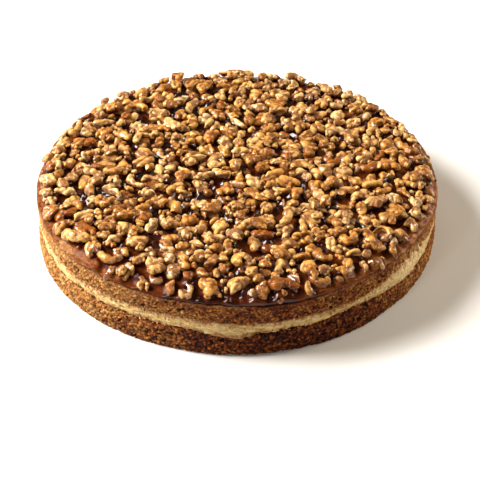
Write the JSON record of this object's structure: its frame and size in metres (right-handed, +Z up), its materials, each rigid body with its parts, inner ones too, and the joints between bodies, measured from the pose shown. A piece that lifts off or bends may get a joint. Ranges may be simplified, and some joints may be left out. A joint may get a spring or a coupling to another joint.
{
  "type": "walnut caramel layer cake",
  "caption": "Whole round layer cake: brown sponge with a pale cream filling, topped with a glossy caramel glaze and a thick bed of chopped glazed walnuts.",
  "frame": {"origin": "middle of the flat underside", "axes": "+Z up through the layers, -Y the front, where the filling sags at the side; +X to the right"},
  "size_m": [0.2515, 0.2508, 0.0479],
  "materials": {
    "sponge": "matte",
    "cream": "satin",
    "caramel": "gloss",
    "walnut": "gloss"
  },
  "bodies": {
    "root": {"bottom_sponge": "sponge", "cream_filling": "cream", "top_sponge": "sponge", "caramel_glaze": "caramel", "walnut_bed": "walnut"}
  },
  "joints": []
}
